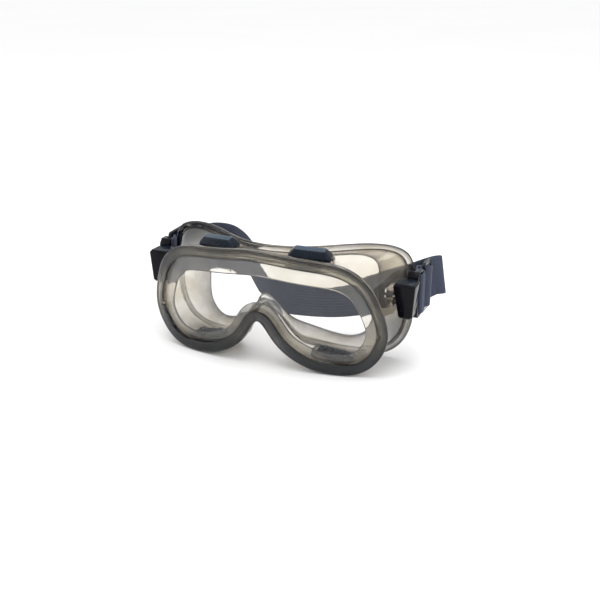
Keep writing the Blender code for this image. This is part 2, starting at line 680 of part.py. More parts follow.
def make_headband(look):
    upright = (0, 0, 1)
    left_route, left_ups = strap_out(1, LEFT_FOLD + LEFT_BACK, LEFT_FOLD_UPS + LEFT_BACK_UPS)
    right_route, right_ups = strap_out(-1, RIGHT_FOLD + RIGHT_BACK,
                                       [upright] * (len(RIGHT_FOLD) + len(RIGHT_BACK)))
    whole = left_route + MIDDLE + right_route[::-1]
    ups = left_ups + [(*upright, 1)] * len(MIDDLE) + right_ups[::-1]
    knots = spaced_knots(whole, False)
    path = SmoothCurve(whole, knots, False)
    lean = SmoothCurve(ups, knots, False)
    count = len(whole)
    left_end = len(left_route) - 1
    right_start = count - len(right_route)
    parts = {"headband_left": (0, left_end), "headband_back": (left_end, right_start),
             "headband_right": (right_start, count - 1)}
    for name, (first, last) in parts.items():
        rings = band_rings(path, lean, first, last)
        add_object(name, *loft(rings), look)


def band_rings(path, lean, first, last):
    """Cross-sections between two route points, drawn in by half a gap at each cut."""
    knots = path.knots
    low = knots[first] + (0.04 if first else 0.0)
    high = knots[last] - (0.04 if last < len(knots) - 1 else 0.0)
    marks = []
    for i in range(first, last):
        steps = max(2, int(np.linalg.norm(path.points[i + 1] - path.points[i]) / 3.0) + 1)
        marks += list(np.linspace(max(knots[i], low), min(knots[i + 1], high), steps,
                                  endpoint=False))
    marks.append(high)
    return [band_section(path, lean, t) for t in marks]


def main():
    clear_scene()
    frame_look = material("frame_soft_vinyl", (0.42, 0.44, 0.42), 0.32, alpha=0.75)
    lens_look = material("clear_polycarbonate", (0.9, 0.93, 0.94), 0.06, alpha=0.25)
    cap_look = material("vent_cap_plastic", (0.07, 0.11, 0.16), 0.4)
    baffle_look = material("vent_baffle_plastic", (0.10, 0.15, 0.24), 0.45)
    strap_look = material("elastic_strap", (0.045, 0.05, 0.085), 0.85)
    looks = {"clip": material("clip_plastic", (0.012, 0.014, 0.018), 0.22),
             "pin": material("pin_plastic", (0.02, 0.02, 0.025), 0.35),
             "washer": material("washer_plastic", (0.25, 0.27, 0.28), 0.4),
             "slider": material("slider_plastic", (0.02, 0.023, 0.03), 0.3),
             "strap": strap_look}
    make_frame(frame_look)
    make_lens(lens_look)
    for name, side in SIDES.items():
        make_vent(f"top_{name}", TOP_VENT, side, cap_look, baffle_look)
        make_vent(f"bottom_{name}", BOTTOM_VENT, side, cap_look, baffle_look)
        make_clip(name, side, looks)
        make_clip_loop(name, side, strap_look)
        make_slider(name, side, looks)
    make_headband(strap_look)


main()
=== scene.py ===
"""Safety goggles: the visible pieces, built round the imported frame."""
from math import cos, sin, pi, radians

import bmesh
import bpy
import numpy as np
from mathutils import Matrix, Vector
from mathutils.kdtree import KDTree


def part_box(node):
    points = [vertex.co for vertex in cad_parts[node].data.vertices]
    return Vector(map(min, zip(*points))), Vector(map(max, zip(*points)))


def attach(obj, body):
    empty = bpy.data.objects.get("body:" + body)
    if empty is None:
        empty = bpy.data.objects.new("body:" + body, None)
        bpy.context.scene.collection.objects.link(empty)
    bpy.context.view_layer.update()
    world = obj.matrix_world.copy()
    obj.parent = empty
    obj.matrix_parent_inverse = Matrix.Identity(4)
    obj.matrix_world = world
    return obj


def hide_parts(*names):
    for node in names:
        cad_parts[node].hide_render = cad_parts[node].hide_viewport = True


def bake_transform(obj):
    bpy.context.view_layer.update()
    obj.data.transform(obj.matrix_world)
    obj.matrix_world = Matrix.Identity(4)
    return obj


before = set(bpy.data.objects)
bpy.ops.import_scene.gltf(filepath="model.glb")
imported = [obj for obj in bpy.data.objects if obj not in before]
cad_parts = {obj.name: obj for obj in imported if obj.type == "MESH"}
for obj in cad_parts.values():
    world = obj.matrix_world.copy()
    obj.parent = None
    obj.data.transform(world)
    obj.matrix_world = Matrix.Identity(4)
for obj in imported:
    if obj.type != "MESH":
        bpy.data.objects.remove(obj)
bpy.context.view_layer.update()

MM = 0.001
SIDES = {"left": 1, "right": -1}

# Front of the frame (arc length, height), top middle round to the nose.
FACE_RADIUS = 236.0
LEAN = 0.105
LEAN_HEIGHT = 37.0
RIM_HALF = [(0, 78.15), (27.8, 76.1), (53.6, 72.7), (69.2, 62.2), (77.75, 45.2), (80.5, 25.4),
            (66.3, 5.0), (42.6, 1.8), (26.8, 6.1), (10, 19.3), (0, 31.8)]
LEDGE_HALF = [(0, 17.0), (0, 17.0), (0, 16.5), (0, 15.0), (0, 14.0), (0, 13.5),
              (0, 13.5), (0, 13.0), (0, 13.0), (0, 12.0), (0, 12.0)]
FLANGE_OUTER_HALF = [(0, 17, 76.5), (28, 28.5, 75.6), (57, 46, 75.8), (78.6, 50, 71.2),
                     (83.6, 50.5, 52), (82.8, 50.5, 27), (70, 49, 6.0), (44, 43.5, 1.6),
                     (26, 33, 7.5), (14.5, 22, 19), (0, 14.5, 38)]
FLANGE_INNER_HALF = [(0, 20, 67), (26, 30, 66.5), (51, 47, 66), (58.5, 52, 59),
                     (58.5, 53, 47), (58.5, 52, 29), (54, 49.5, 18), (41, 43.5, 14.5),
                     (22, 33, 22.5), (9.5, 22, 33.5), (0, 14, 47)]
PER_SPAN = 14
LIP_WIDTH = 7.0
GROOVE = (1.3, 3.9, 3.2)
LEDGE_THICK = 1.5
RIM_DEPTH = 5.0
WALL = 2.2
WALL_INSET = 3.4
WALL_HOLLOW = 1.8
FLANGE_THICK = 2.2
FLANGE_LIP = 3.6
FLOOR_HEIGHT = 1.6
LENS = (1.6, 3.6, 4.7)

TOP_VENT = dict(centre=(30.2, 12.6, 73.0), yaw=8.3, roll=2.0, tilt=12.0, rise=1.0)
BOTTOM_VENT = dict(centre=(42.0, 22.5, 5.9), yaw=-4.0, roll=4.0, tilt=180.0, rise=0.52)
SEAT = (28.4, 11.6, 4.2)
BAFFLE = (21.0, 8.0, 1.2)

PIVOT = (36.0, 48.5)
LUG_INNER, LUG_FACE, LUG_RADIUS = 71.6, 76.8, 7.6
CLIP_INNER = 77.2
CLIP_BLOCK = [(37.0, 81.5, 88.4, 28.6), (38.4, 80.8, 89.2, 27.6), (57.2, 77.2, 90.6, 26.8),
              (58.8, 77.9, 89.4, 28.0)]
CLIP_BLOCK_BACK = 41.0
BAR_Y = (44.3, 47.3)
BAR_X = (86.0, 89.2)
CLIP_HALF_HEIGHT = 14.7
PIN_RADIUS = 2.2
GAP = 0.3

STRAP_WIDTH = 25.4
STRAP_THICK = 1.2
STRAP_Z = 48.5
SLIDER_Y = 55.0
SLIDER_BAR = 3.2
SLIDER_SLOT = 7.2
SLIDER_X = (88.0, 90.0)
SLIDER_HALF_HEIGHT = 15.8
SLIDER_HINGE = (86.0, 50.0, STRAP_Z)
SLIDER_PITCH = {1: -10.0, -1: 3.0}
SLIDER_YAW = {1: 7.0, -1: 1.0}
SLIDER_SHIFT = {1: (-1.5, 1.0, 0.0), -1: (2.6, 0.4, -2.0)}
LEFT_PATH = [(83.6, 90.5, 44.0), (87.4, 93.6, 44.4), (89.2, 95.6, 44.4), (88.6, 97.6, 44.2),
             (84.5, 97.6, 43.4), (70.0, 86.5, 39.5), (50.0, 73.5, 33.0)]
LEFT_UPS = [(-0.10, 0, 1), (-0.16, 0, 1), (-0.17, 0, 1), (-0.17, 0, 1), (-0.14, 0, 1),
            (0, 0, 1), (0, 0, 1)]
RIGHT_PATH = [(-89.8, 93.0, 44.8), (-85.5, 101.5, 45.2), (-77.0, 105.5, 45.3),
              (-68.5, 103.5, 45.3), (-58.5, 96.5, 45.0), (-45.0, 84.0, 43.0)]
MIDDLE = [(30.0, 66.5, 29.0), (15.0, 63.5, 27.8), (-2.0, 61.6, 27.4), (-16.0, 63.0, 28.4),
          (-30.0, 71.5, 34.5)]
FEED_END, WRAP_END, TAIL_END = 5, 14, 16    # places in each side's route where stretches meet
FOLD_TIP = {1: 19, -1: 18}
UNDER_SLIDER_X = 86.9
FEED_X = 90.1
FLOOR_RADIUS = 9.0
CAMERA_PLACE = (237.64, -482.29, 248.21)
CAMERA_TARGET = (18.3, 24.56, 40.62)
CAMERA_LENS = 57.3


def layout_shift():
    """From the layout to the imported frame: the clips' middle, the pin's axis and the floor."""
    pin_low, pin_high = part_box("pivot_pin_left")
    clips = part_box("strap_clip_left")[1].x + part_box("strap_clip_right")[0].x
    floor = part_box("frame_body")[0].z
    return Vector((clips / 2 / MM, (pin_low.y + pin_high.y) / 2 / MM - PIVOT[0],
                   floor / MM - FLOOR_HEIGHT))


SHIFT = layout_shift()


def at(point):
    """A layout point in the frame, in metres."""
    return (Vector(point) + SHIFT) * MM


# ---- mesh helpers -------------------------------------------------------------------
def new_object(name, points, faces, sharp=38.0):
    mesh = bpy.data.meshes.new(name)
    mesh.from_pydata([tuple(at(p)) for p in points], [], faces)
    shell = bmesh.new()
    shell.from_mesh(mesh)
    bmesh.ops.recalc_face_normals(shell, faces=shell.faces)
    shell.to_mesh(mesh)
    shell.free()
    mesh.shade_smooth()
    mesh.set_sharp_from_angle(angle=radians(sharp))
    obj = bpy.data.objects.new(name, mesh)
    bpy.context.scene.collection.objects.link(obj)
    return obj


def join(*shapes):
    points, faces = [], []
    for shape_points, shape_faces in shapes:
        base = len(points)
        points += list(shape_points)
        faces += [tuple(i + base for i in face) for face in shape_faces]
    return points, faces


def moved(shape, matrix):
    return [tuple(matrix @ Vector(p)) for p in shape[0]], shape[1]


def sided(shape, side):
    return [(p[0] * side, p[1], p[2]) for p in shape[0]], shape[1]


def box(low, high):
    points = [(x, y, z) for z in (low[2], high[2]) for y in (low[1], high[1])
              for x in (low[0], high[0])]
    return points, [(0, 2, 3, 1), (4, 5, 7, 6), (0, 1, 5, 4), (2, 6, 7, 3),
                    (0, 4, 6, 2), (1, 3, 7, 5)]


def loft(rings, closed=False):
    count = len(rings[0])
    points = [tuple(p) for ring in rings for p in ring]
    faces = []
    for i in range(len(rings) if closed else len(rings) - 1):
        a, b = i * count, (i + 1) % len(rings) * count
        faces += [(a + j, a + (j + 1) % count, b + (j + 1) % count, b + j)
                  for j in range(count)]
    if not closed:
        faces += [tuple(range(count))[::-1],
                  tuple(range((len(rings) - 1) * count, len(rings) * count))]
    return points, faces


def disc(radius, count):
    return [(radius * cos(2 * pi * i / count), radius * sin(2 * pi * i / count))
            for i in range(count)]


def turned_x(profile, count=48):
    return loft([[(x, PIVOT[0] + u, PIVOT[1] + v) for u, v in disc(r, count)]
                 for x, r in profile])


def rounded(length, width, radius, per_corner=6):
    outline = []
    for quarter, (su, sv) in enumerate([(1, 1), (-1, 1), (-1, -1), (1, -1)]):
        for i in range(per_corner):
            angle = pi / 2 * (quarter + i / (per_corner - 1))
            outline.append((su * (length / 2 - radius) + radius * cos(angle),
                            sv * (width / 2 - radius) + radius * sin(angle)))
    return outline


def plate(outline, low, high):
    return loft([[(u, v, w) for u, v in outline] for w in (low, high)])


def prism_x(outline, low, high):
    return loft([[(x, y, z) for y, z in outline] for x in (low, high)])


def prism_z(outline, low, high):
    return loft([[(x, y, z) for x, y in outline] for z in (low, high)])


def combine(obj, shape, operation):
    """Cut or add a helper shape and keep the result in the mesh."""
    helper = new_object("helper", *shape)
    change = obj.modifiers.new("change", "BOOLEAN")
    change.operation = operation
    change.solver = "EXACT"
    change.object = helper
    bake(obj)
    bpy.data.objects.remove(helper, do_unlink=True)


def bevel(obj, width, segments=3, angle=28.0):
    edges = obj.modifiers.new("edges", "BEVEL")
    edges.width = width * MM
    edges.segments = segments
    edges.limit_method = "ANGLE"
    edges.angle_limit = radians(angle)
    edges.harden_normals = False
    bake(obj)
    obj.data.shade_smooth()
    obj.data.set_sharp_from_angle(angle=radians(50))


def bake(obj):
    """Replace an object's mesh with the result of its modifiers."""
    bpy.context.view_layer.update()
    graph = bpy.context.evaluated_depsgraph_get()
    mesh = bpy.data.meshes.new_from_object(obj.evaluated_get(graph))
    obj.modifiers.clear()
    obj.data = mesh


def finish_piece(obj, look, body, nodes):
    obj.data.materials.clear()
    obj.data.materials.append(look)
    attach(obj, body)
    if nodes:
        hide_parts(*nodes)
    return obj


class SmoothCurve:
    """A cubic spline through points, closed or open, with given knots."""

    def __init__(self, points, knots, closed):
        self.points = np.array(points, float)
        self.knots = np.array(knots, float)
        count = len(self.points)
        step = np.diff(self.knots)
        self.step = step
        system = np.zeros((count, count))
        right = np.zeros_like(self.points)
        for i in range(count):
            if not closed and i in (0, count - 1):
                system[i, i] = 1.0
                continue
            before, after, nxt = step[i - 1], step[i], (i + 1) % count
            system[i, i - 1] += before
            system[i, i] += 2.0 * (before + after)
            system[i, nxt] += after
            right[i] = 6.0 * ((self.points[nxt] - self.points[i]) / after
                              - (self.points[i] - self.points[i - 1]) / before)
        self.bend = np.linalg.solve(system, right)

    def at(self, t):
        i = int(np.clip(np.searchsorted(self.knots, t, side="right") - 1, 0, len(self.step) - 1))
        j = (i + 1) % len(self.points)
        h = self.step[i]
        a = (self.knots[i + 1] - t) / h
        b = 1.0 - a
        return (a * self.points[i] + b * self.points[j]
                + ((a ** 3 - a) * self.bend[i] + (b ** 3 - b) * self.bend[j]) * h * h / 6.0)


def spaced_knots(points, closed):
    points = np.array(points, float)
    ahead = np.roll(points, -1, axis=0) if closed else points[1:]
    gaps = np.sqrt(np.linalg.norm(ahead - points[:len(ahead)], axis=1))
    return np.concatenate([[0.0], np.cumsum(gaps)])


def both_halves(half):
    return list(half) + [(-p[0], *p[1:]) for p in half[-2:0:-1]]


# ---- materials ----------------------------------------------------------------------
class Look:
    """A node material with small helpers."""

    def __init__(self, name):
        self.mat = bpy.data.materials.new(name)
        self.mat.use_nodes = True
        self.tree = self.mat.node_tree
        self.shader = self.tree.nodes["Principled BSDF"]
        self.out = self.tree.nodes["Material Output"]

    def node(self, kind, **inputs):
        made = self.tree.nodes.new(kind)
        for key, value in inputs.items():
            self.feed(made.inputs[key.replace("_", " ")], value)
        return made

    def feed(self, socket, value):
        if hasattr(value, "links"):
            self.tree.links.new(value, socket)
        else:
            socket.default_value = value

    def set(self, **inputs):
        for key, value in inputs.items():
            self.feed(self.shader.inputs[key.replace("_", " ")], value)

    def coords(self, scale=(1, 1, 1), uv=False):
        source = self.node("ShaderNodeTexCoord").outputs["UV" if uv else "Object"]
        mapping = self.node("ShaderNodeMapping", Vector=source, Scale=scale)
        return mapping.outputs["Vector"]

    def noise(self, scale, detail=3.0, stretch=(1, 1, 1), uv=False):
        made = self.node("ShaderNodeTexNoise", Vector=self.coords(stretch, uv), Scale=scale,
                         Detail=detail)
        return made.outputs["Fac"]

    def math(self, operation, a, b=0.0):
        made = self.tree.nodes.new("ShaderNodeMath")
        made.operation = operation
        self.feed(made.inputs[0], a)
        self.feed(made.inputs[1], b)
        return made.outputs[0]

    def spread(self, value, low, high, to_low=0.0, to_high=1.0):
        made = self.node("ShaderNodeMapRange", Value=value)
        made.interpolation_type = "SMOOTHSTEP"
        for key, number in zip(("From Min", "From Max", "To Min", "To Max"),
                               (low, high, to_low, to_high)):
            made.inputs[key].default_value = number
        return made.outputs["Result"]

    def mix(self, factor, a, b, mode="MIX"):
        made = self.tree.nodes.new("ShaderNodeMix")
        made.data_type = "RGBA"
        made.blend_type = mode
        self.feed(made.inputs[0], factor)
        for socket, value in ((made.inputs[6], a), (made.inputs[7], b)):
            self.feed(socket, (*value, 1.0) if isinstance(value, tuple) else value)
        return made.outputs[2]

    def attribute(self, name):
        made = self.tree.nodes.new("ShaderNodeAttribute")
        made.attribute_name = name
        return made.outputs["Fac"]

    def bump(self, height, strength, distance):
        made = self.node("ShaderNodeBump", Height=height, Strength=strength, Distance=distance)
        self.feed(self.shader.inputs["Normal"], made.outputs["Normal"])


def vinyl_look():
    """Smoke-tinted clear soft vinyl, darker where the rim is thick, with painted shade towards the nose,
    the cheeks, one upper corner and the lower sides, and painted edge shade along the lips.
    """
    look = Look("smoke_vinyl")
    cloud = look.noise(38.0, 3.0)
    flow = look.noise(24.0, 4.0, (0.35, 1, 1.6))
    streak = look.noise(30.0, 5.0, (1, 0.3, 1.8))
    pale = look.mix(look.spread(streak, 0.38, 0.62), (0.66, 0.61, 0.52), (0.90, 0.865, 0.82))
    rim = look.mix(look.spread(flow, 0.35, 0.65), (0.66, 0.62, 0.50), (0.86, 0.81, 0.69))
    body = look.mix(look.attribute("rim"), pale, rim)
    # Painted shade: a dark slate laid over the vinyl where the shade attribute is high.
    painted_slate_shade = look.mix(look.spread(flow, 0.35, 0.65), (0.016, 0.022, 0.034), (0.075, 0.090, 0.112))
    body = look.mix(look.attribute("painted_shade"), body, painted_slate_shade)
    # Painted shade: near-black lines along the section's edges and rounded corners, broken up by noise.
    painted_edge_shade = look.math("MULTIPLY", look.attribute("painted_edge_shade"), look.spread(cloud, 0.2, 0.5, 0.8, 1.0))
    body = look.mix(painted_edge_shade, body, (0.008, 0.010, 0.018))
    look.set(Base_Color=body, Transmission_Weight=0.96, IOR=1.45, Specular_IOR_Level=0.28,
             Roughness=look.spread(look.noise(60.0, 4.0), 0.3, 0.75, 0.02, 0.08))
    fine = look.noise(420.0, 2.0)
    look.bump(look.math("ADD", fine, look.math("MULTIPLY", flow, 3.0)), 0.08, 0.0003)
    haze = look.node("ShaderNodeVolumeAbsorption", Color=(0.62, 0.57, 0.50, 1.0), Density=120.0)
    look.tree.links.new(haze.outputs["Volume"], look.out.inputs["Volume"])
    return look.mat


def lens_look():
    look = Look("clear_lens")
    smear = look.noise(30.0, 4.0, (1, 1, 0.35))
    look.set(Base_Color=(0.97, 0.98, 0.985, 1.0), Transmission_Weight=1.0, IOR=1.3,
             Specular_IOR_Level=0.5, Roughness=look.spread(smear, 0.35, 0.8, 0.0, 0.035))
    return look.mat


def moulded_look(name, dark, light, roughness, grain=900.0, gloss=0.3, top=None):
    """Moulded plastic: fine grain, a slight flow variation and, if given, a painted highlight on faces
    that point up.
    """
    look = Look(name)
    flow = look.noise(90.0, 4.0, (1, 1, 0.4))
    colour = look.mix(look.spread(flow, 0.3, 0.75), dark, light)
    speck = look.spread(look.noise(700.0, 3.0), 0.55, 0.8)
    pale = tuple(min(1.0, c * 1.8 + 0.004) for c in light)
    colour = look.mix(look.math("MULTIPLY", speck, 0.2), colour, pale)
    # Painted highlight: faces that point up are mixed towards the lighter top colour.
    if top:
        facing = look.node("ShaderNodeSeparateXYZ",
                           Vector=look.node("ShaderNodeNewGeometry").outputs["Normal"])
        colour = look.mix(look.spread(facing.outputs["Z"], 0.80, 0.97), colour, top)
    look.set(Base_Color=colour, Specular_IOR_Level=gloss, IOR=1.46)
    look.set(Roughness=look.spread(look.noise(220.0, 3.0), 0.3, 0.7, roughness * 0.8,
                                   roughness * 1.3))
    look.bump(look.noise(grain, 2.0), 0.10, 0.0002)
    return look.mat


def strap_look():
    """Knitted elastic: ribs run along the band, crossed by fine rows of stitches."""
    look = Look("navy_elastic")
    uv = look.coords((1, 1, 1), True)
    split = look.node("ShaderNodeSeparateXYZ", Vector=uv)
    along, across = split.outputs["X"], split.outputs["Y"]
    rib = look.math("SINE", look.math("MULTIPLY", across, 2 * pi / 1.27))
    row = look.math("SINE", look.math("ADD", look.math("MULTIPLY", along, 2 * pi / 0.9),
                                      look.math("MULTIPLY", rib, 1.3)))
    weave = look.math("MULTIPLY", look.math("ADD", look.math("MULTIPLY", rib, 0.6), row), 0.5)
    height = look.spread(weave, -0.9, 0.9)
    fuzz = look.noise(0.9, 4.0, (1, 1, 1), True)
    wear = look.noise(26.0, 3.0)
    # Painted shade: the weave's hollows are darker and its ridges lighter, following the bump's relief.
    colour = look.mix(height, (0.030, 0.034, 0.053), (0.068, 0.077, 0.112))
    colour = look.mix(look.math("MULTIPLY", look.spread(fuzz, 0.45, 0.75), 0.2), colour,
                      (0.10, 0.11, 0.15))
    colour = look.mix(look.math("MULTIPLY", look.spread(wear, 0.4, 0.75), 0.25), colour,
                      (0.028, 0.032, 0.048))
    look.set(Base_Color=colour, Roughness=0.86, Sheen_Weight=0.08, Sheen_Roughness=0.5,
             Sheen_Tint=(0.75, 0.8, 1.0, 1.0), Specular_IOR_Level=0.15)
    look.bump(look.math("ADD", height, look.math("MULTIPLY", fuzz, 0.3)), 0.3, 0.00012)
    return look.mat


# ---- frame and lens -----------------------------------------------------------------
def on_face(s, z, depth):
    turn = s / FACE_RADIUS
    reach = FACE_RADIUS - depth
    return Vector((reach * sin(turn), FACE_RADIUS - reach * cos(turn) - LEAN * (z - LEAN_HEIGHT), z))


class FrameLayout:
    """The rim and flange outlines sampled at matching stations."""

    def __init__(self, per_span):
        rim = both_halves(RIM_HALF)
        knots = spaced_knots(rim, True)
        self.rim = SmoothCurve(rim, knots, True)
        self.ledge = SmoothCurve([(0, p[1]) for p in both_halves(LEDGE_HALF)], knots, True)
        self.outer = SmoothCurve(both_halves(FLANGE_OUTER_HALF), knots, True)
        self.inner = SmoothCurve(both_halves(FLANGE_INNER_HALF), knots, True)
        self.stations = np.concatenate([np.linspace(a, b, per_span, endpoint=False)
                                        for a, b in zip(knots[:-1], knots[1:])])
        self.period = knots[-1]

    def inward(self, t):
        slope = self.rim.at((t + 0.01) % self.period) - self.rim.at((t - 0.01) % self.period)
        slope /= np.linalg.norm(slope)
        return np.array([slope[1], -slope[0]])

    def front(self, t, inset, depth):
        s, z = self.rim.at(t) + self.inward(t) * inset
        return on_face(s, z, depth)

    def flange(self, t):
        outer = Vector(self.outer.at(t))
        across = Vector(self.inner.at(t)) - outer
        along = Vector(self.outer.at((t + 0.01) % self.period)
                       - self.outer.at((t - 0.01) % self.period))
        normal = along.cross(across).normalized()
        if normal.y < 0:
            normal.negate()
        return outer, across.normalized(), across.length, normal


def arc(centre, radius, start, end, count):
    return [(centre[0] + radius * cos(radians(start + (end - start) * i / count)),
             centre[1] + radius * sin(radians(start + (end - start) * i / count)))
            for i in range(count + 1)]


def frame_section(layout, t):
    """The closed wall section at one station: (point, region, how much painted edge shade it gets)."""
    def front(pair):
        return layout.front(t, *pair)

    ledge = layout.ledge.at(t)[1]
    outer, across, width, back = layout.flange(t)
    half = FLANGE_THICK / 2
    outside = (front((WALL_INSET, RIM_DEPTH + 0.4)),
               outer + across * FLANGE_LIP - back * half)
    inside = (front((WALL_INSET + WALL, RIM_DEPTH + 0.8)),
              outer + across * (FLANGE_LIP + WALL) - back * half)
    hollow = (front((10.0, RIM_DEPTH)) - front((0.0, RIM_DEPTH))).normalized() * WALL_HOLLOW

    def wall(ends, part):
        return ends[0].lerp(ends[1], part) + hollow * sin(pi * part)

    groove_front, groove_back, groove_inset = GROOVE
    # The third value of each point sets its painted edge shade.
    rim = [(LIP_WIDTH, groove_front, 0.9), (LIP_WIDTH, 0.55, 1.0)]
    rim += [(*p, 1.0) for p in arc((LIP_WIDTH - 0.55, 0.55), 0.55, 0, -90, 3)[1:]]
    rim += [(LIP_WIDTH - 1.1, 0.01, 0.8), (LIP_WIDTH - 1.6, 0.02, 0.1), (4.4, 0.0, 0.0),
            (3.0, -0.04, 0.0), (2.0, -0.03, 0.5)]
    rim += [(*p, 0.85) for p in arc((1.3, 1.3), 1.3, -90, -180, 6)]
    rim += [(0.0, 2.6, 0.5)]
    rim += [(*p, 0.75) for p in arc((0.9, RIM_DEPTH - 0.9), 0.9, 180, 90, 4)]
    rim += [(1.9, RIM_DEPTH + 0.02, 0.95)]
    section = [(front(p[:2]), "rim", p[2]) for p in rim]
    section += [(wall(outside, i / 10), "wall", 0.7 if i in (0, 10) else 0.0)
                for i in range(11)]
    lip = [(FLANGE_LIP - 0.5, -half, 0.3)]
    lip += [(*p, 0.8) for p in arc((half, 0), half, -90, -270, 8)]
    lip += [(half + 0.8, half * 1.01, 0.0), (width * 0.5, half * 1.02, 0.0),
            (width - half - 0.8, half * 1.01, 0.0)]
    lip += [(*p, 0.85) for p in arc((width - half, 0), half, 90, -90, 6)]
    lip += [(FLANGE_LIP + WALL + 1.0, -half, 0.1)]
    section += [(outer + across * u + back * v, "flange", painted_edge_shade) for u, v, painted_edge_shade in lip]
    section += [(wall(inside, 1 - i / 10), "wall", 0.5 if i == 0 else 0.0) for i in range(11)]
    inner = [(WALL_INSET + WALL + 1.6, groove_back + LEDGE_THICK + 0.05, 0.2),
             (ledge - 0.5, groove_back + LEDGE_THICK, 0.1)]
    inner += [(*p, 0.7) for p in arc((ledge - 0.5, groove_back + LEDGE_THICK - 0.5), 0.5,
                                      90, 0, 3)[1:]]
    inner += [(ledge, groove_back, 0.7), (ledge - 0.6, groove_back, 0.0),
              (groove_inset + 1.0, groove_back, 0.0), (groove_inset, groove_back, 0.3),
              (groove_inset, groove_front, 0.3)]
    section += [(front(p[:2]), "ledge", p[2]) for p in inner]
    return section


def vent_matrix(vent):
    return (Matrix.Translation(vent["centre"])
            @ Matrix.Rotation(radians(vent["yaw"]), 4, "Z")
            @ Matrix.Rotation(radians(vent["roll"]), 4, "Y")
            @ Matrix.Rotation(radians(vent["tilt"]), 4, "X"))


def frame_helpers():
    """Shapes added to the frame, then two groups cut from it."""
    add, cut, clear = [], [], []
    cut.append(box((-120, -30, -20), (120, 130, FLOOR_HEIGHT)))
    for side in SIDES.values():
        for vent in (TOP_VENT, BOTTOM_VENT):
            place = vent_matrix(vent)
            groups = ((add, rounded(SEAT[0], SEAT[1], 2.4), -SEAT[2], 0.0),
                      (cut, rounded(17.0, 5.0, 1.5), -SEAT[2] - 4, 3.0),
                      (clear, rounded(BAFFLE[0] + 2, BAFFLE[1] + 1.4, 1.8), -SEAT[2] - 3.4,
                       -SEAT[2]))
            for group, outline, low, high in groups:
                group.append(sided(moved(plate(outline, low, high), place), side))
        lug = [(LUG_INNER, LUG_RADIUS), (LUG_FACE - 0.6, LUG_RADIUS),
               (LUG_FACE - 0.2, LUG_RADIUS - 0.2), (LUG_FACE, LUG_RADIUS - 0.6)]
        add.append(sided(turned_x(lug), side))
        hole = [(LUG_INNER - 4, PIN_RADIUS + GAP), (LUG_FACE + 2, PIN_RADIUS + GAP)]
        cut.append(sided(turned_x(hole, 32), side))
        clear.append(sided(turned_x([(LUG_INNER - 6, 7.2), (LUG_INNER, 7.2)]), side))
        tick = on_face(75.6, 29.0, 0.0)
        cut.append(sided(box((tick.x - 3.0, tick.y - 3.0, tick.z - 1.1),
                             (tick.x + 1.2, tick.y + 2.2, tick.z + 1.1)), side))
    return join(*add), join(*cut), join(*clear)


def ramp(value, low, high):
    share = max(0.0, min(1.0, (value - low) / (high - low)))
    return share * share * (3 - 2 * share)


def paint_frame(obj, marked):
    """Point attributes: rim, painted shade towards the nose, cheeks, one upper corner and the lower sides,
    and painted edge shade along the lips.
    """
    tree = KDTree(len(marked))
    for i, mark in enumerate(marked):
        tree.insert(at(mark[0]), i)
    tree.balance()
    layers = {"rim": [], "painted_shade": [], "painted_edge_shade": []}
    for vertex in obj.data.vertices:
        region, painted_edge_shade = marked[tree.find(vertex.co)[1]][1:]
        x, _, z = vertex.co / MM - SHIFT
        # Painted shade: darker towards the nose, the lower cheeks, the upper corner on the negative x side
        # and the lower side on the positive x side.
        nose = ramp(30.0 - abs(x), 0, 22) * ramp(52.0 - z, 0, 16)
        cheek = ramp(44.0 - z, 0, 34)
        corner = ramp(-x - 44.0, 0, 26) * ramp(z - 44.0, 0, 16)
        side = ramp(x - 58.0, 0, 14) * ramp(50.0 - z, 0, 24)
        painted_shade = {"rim": max(nose * 0.85, cheek, corner * 0.9, side * 0.4),
                 "ledge": max(nose * 0.6, cheek * 0.2, corner * 0.5),
                 "wall": max(nose * 0.1, cheek * 0.05, corner * 0.9, side * 0.75),
                 "flange": max(nose * 0.05, corner * 0.8, side * 0.5)}[region]
        layers["rim"].append({"rim": 1.0, "ledge": 0.3, "wall": 0.25}.get(region, 0.0))
        layers["painted_shade"].append(painted_shade)
        layers["painted_edge_shade"].append(painted_edge_shade)
    for name, values in layers.items():
        layer = obj.data.attributes.new(name, "FLOAT", "POINT")
        layer.data.foreach_set("value", np.array(values, np.float32))


def make_frame(look):
    layout = FrameLayout(PER_SPAN)
    sections = [frame_section(layout, t) for t in layout.stations]
    shape = loft([[mark[0] for mark in section] for section in sections], closed=True)
    obj = new_object("frame_shell", *shape)
    add, cut, clear = frame_helpers()
    combine(obj, add, "UNION")
    combine(obj, cut, "DIFFERENCE")
    combine(obj, clear, "DIFFERENCE")
    paint_frame(obj, [mark for section in sections for mark in section])
    obj.data.shade_smooth()
    obj.data.set_sharp_from_angle(angle=radians(42))
    return finish_piece(obj, look, "goggles", ["frame_body"])


